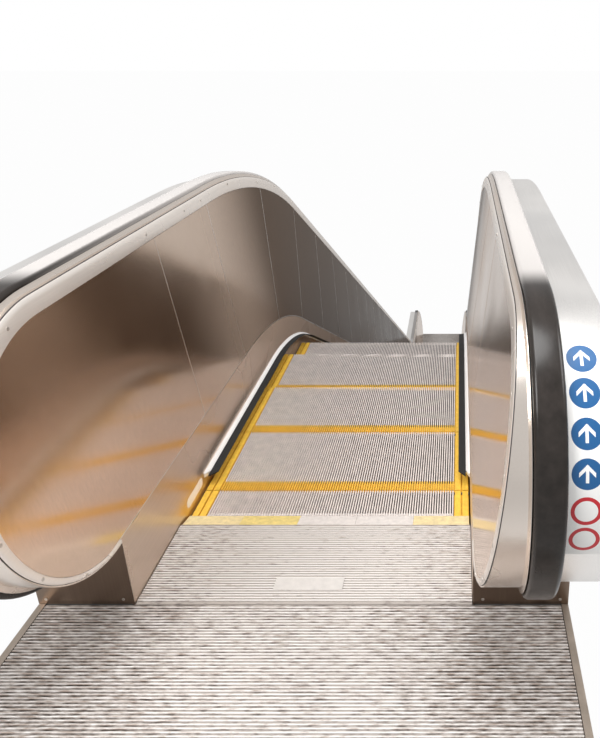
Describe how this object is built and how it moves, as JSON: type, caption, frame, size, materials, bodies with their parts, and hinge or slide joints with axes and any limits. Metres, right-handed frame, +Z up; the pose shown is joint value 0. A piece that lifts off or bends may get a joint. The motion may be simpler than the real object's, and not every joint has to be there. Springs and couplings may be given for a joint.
{
  "type": "escalator",
  "caption": "Escalator for a public place: cleated steps between closed metal balustrades with black handrails, combs and ribbed floor plates at both landings, clad underneath",
  "frame": {"origin": "centre line of the machine, on the flat underside of the upper support angle, where it rests on the building's bearing", "axes": "+Y runs horizontally down the descent from the upper landing to the lower one, +X to the right seen from the upper landing, +Z up"},
  "size_m": [1.62, 16.2362, 8.1033],
  "materials": {
    "truss_paint": "satin",
    "cladding_steel": "satin",
    "panel_steel": "satin",
    "skirt_steel": "satin",
    "rim_steel": "polished",
    "deck_steel": "satin",
    "guide_steel": "satin",
    "handrail_rubber": "gloss",
    "base_steel": "satin",
    "inlet_rubber": "matte",
    "step_aluminium": "satin",
    "comb_yellow": "satin",
    "plate_aluminium": "satin",
    "frame_aluminium": "satin",
    "brush_aluminium": "satin",
    "bristle_nylon": "matte",
    "light_lens": "gloss",
    "blank_plate_steel": "satin"
  },
  "bodies": {
    "root": {"truss_side_left": "truss_paint", "truss_side_right": "truss_paint", "track_bed": "truss_paint", "side_cladding_left": "cladding_steel", "side_cladding_right": "cladding_steel", "soffit_panels": "cladding_steel", "end_plate_upper": "truss_paint", "end_plate_lower": "truss_paint", "support_angle_upper": "truss_paint", "support_angle_lower": "truss_paint", "balustrade_core_left": "truss_paint", "balustrade_core_right": "truss_paint", "skirt_left": "skirt_steel", "skirt_right": "skirt_steel", "interior_panels_left": "panel_steel", "interior_panels_right": "panel_steel", "panel_rim_left": "rim_steel", "panel_rim_right": "rim_steel", "inner_deck_left": "deck_steel", "inner_deck_right": "deck_steel", "handrail_guide_left": "guide_steel", "handrail_guide_right": "guide_steel", "handrail_left": "handrail_rubber", "handrail_right": "handrail_rubber", "outer_deck_left": "deck_steel", "outer_deck_right": "deck_steel", "newel_bases_upper": "base_steel", "newel_bases_lower": "base_steel", "handrail_inlets_upper": "inlet_rubber", "handrail_inlets_lower": "inlet_rubber", "steps_upper_landing": "step_aluminium", "steps_slope_1": "step_aluminium", "steps_slope_2": "step_aluminium", "steps_slope_3": "step_aluminium", "steps_slope_4": "step_aluminium", "steps_lower_landing": "step_aluminium", "comb_segments_upper": "comb_yellow", "comb_segments_lower": "comb_yellow", "comb_plate_upper": "plate_aluminium", "comb_plate_lower": "plate_aluminium", "floor_plates_upper": "plate_aluminium", "floor_plates_lower": "plate_aluminium", "landing_frame_upper": "frame_aluminium", "landing_frame_lower": "frame_aluminium", "brush_holders": "brush_aluminium", "brush_bristles": "bristle_nylon", "skirt_lights": "light_lens", "data_plate": "blank_plate_steel"}
  },
  "joints": []
}
